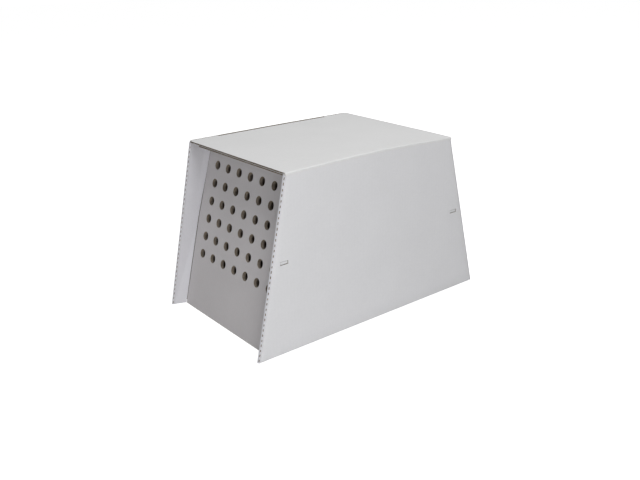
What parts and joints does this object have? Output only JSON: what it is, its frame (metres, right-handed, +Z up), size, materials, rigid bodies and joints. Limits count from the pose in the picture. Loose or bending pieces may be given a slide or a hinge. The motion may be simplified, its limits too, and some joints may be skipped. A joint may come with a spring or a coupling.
{
  "type": "poultry transport crate",
  "caption": "Corrugated board carton for live birds, with leaning perforated end walls set back between side flanges, a hinged lid and a tuck flap.",
  "frame": {"origin": "on the floor, at the middle of the base", "axes": "+Z up; Y along the carton, the front end at -Y; +X towards the lid's fold, -X towards its tuck flap"},
  "size_m": [0.3, 0.505, 0.305],
  "materials": {
    "base_board": "matte white liner over brown fluting",
    "side_board": "matte white liner over brown fluting",
    "flange_board": "matte white liner, perforated creases",
    "tongue_board": "raw cut board end",
    "end_wall_board": "matte white liner, brown in the cut holes",
    "lid_board": "matte white liner, brown raw edges"
  },
  "bodies": {
    "carton": {"base_panel": "base_board", "left_side_panel": "side_board", "right_side_panel": "side_board", "front_left_nose_strip": "flange_board", "front_right_nose_strip": "flange_board", "rear_left_nose_strip": "flange_board", "rear_right_nose_strip": "flange_board", "front_left_return_flap": "flange_board", "front_right_return_flap": "flange_board", "rear_left_return_flap": "flange_board", "rear_right_return_flap": "flange_board", "front_left_lock_tongue": "tongue_board", "front_right_lock_tongue": "tongue_board", "rear_left_lock_tongue": "tongue_board", "rear_right_lock_tongue": "tongue_board"},
    "front_end_wall": {"front_outer_end_wall": "end_wall_board", "front_inner_end_wall": "end_wall_board", "front_end_wall_top_fold": "end_wall_board"},
    "rear_end_wall": {"rear_outer_end_wall": "end_wall_board", "rear_inner_end_wall": "end_wall_board", "rear_end_wall_top_fold": "end_wall_board"},
    "lid": {"lid_panel": "lid_board", "lid_inner_ply": "lid_board"},
    "tuck": {"tuck_flap": "lid_board"}
  },
  "joints": [
    {"name": "lid_fold", "type": "hinge", "parent": "carton", "child": "lid", "pos_m": [0.15, 0, 0.305], "axis": [0, 1, 0], "range_deg": [0, 175]},
    {"name": "tuck_fold", "type": "hinge", "parent": "lid", "child": "tuck", "pos_m": [-0.1415, 0, 0.3017], "axis": [0, -1, 0], "range_deg": [0, 70]},
    {"name": "front_end_fold", "type": "hinge", "parent": "carton", "child": "front_end_wall", "pos_m": [0, -0.2275, 0], "axis": [1, 0, 0], "range_deg": [0, 105]},
    {"name": "rear_end_fold", "type": "hinge", "parent": "carton", "child": "rear_end_wall", "pos_m": [0, 0.2275, 0], "axis": [-1, 0, 0], "range_deg": [0, 105]}
  ]
}
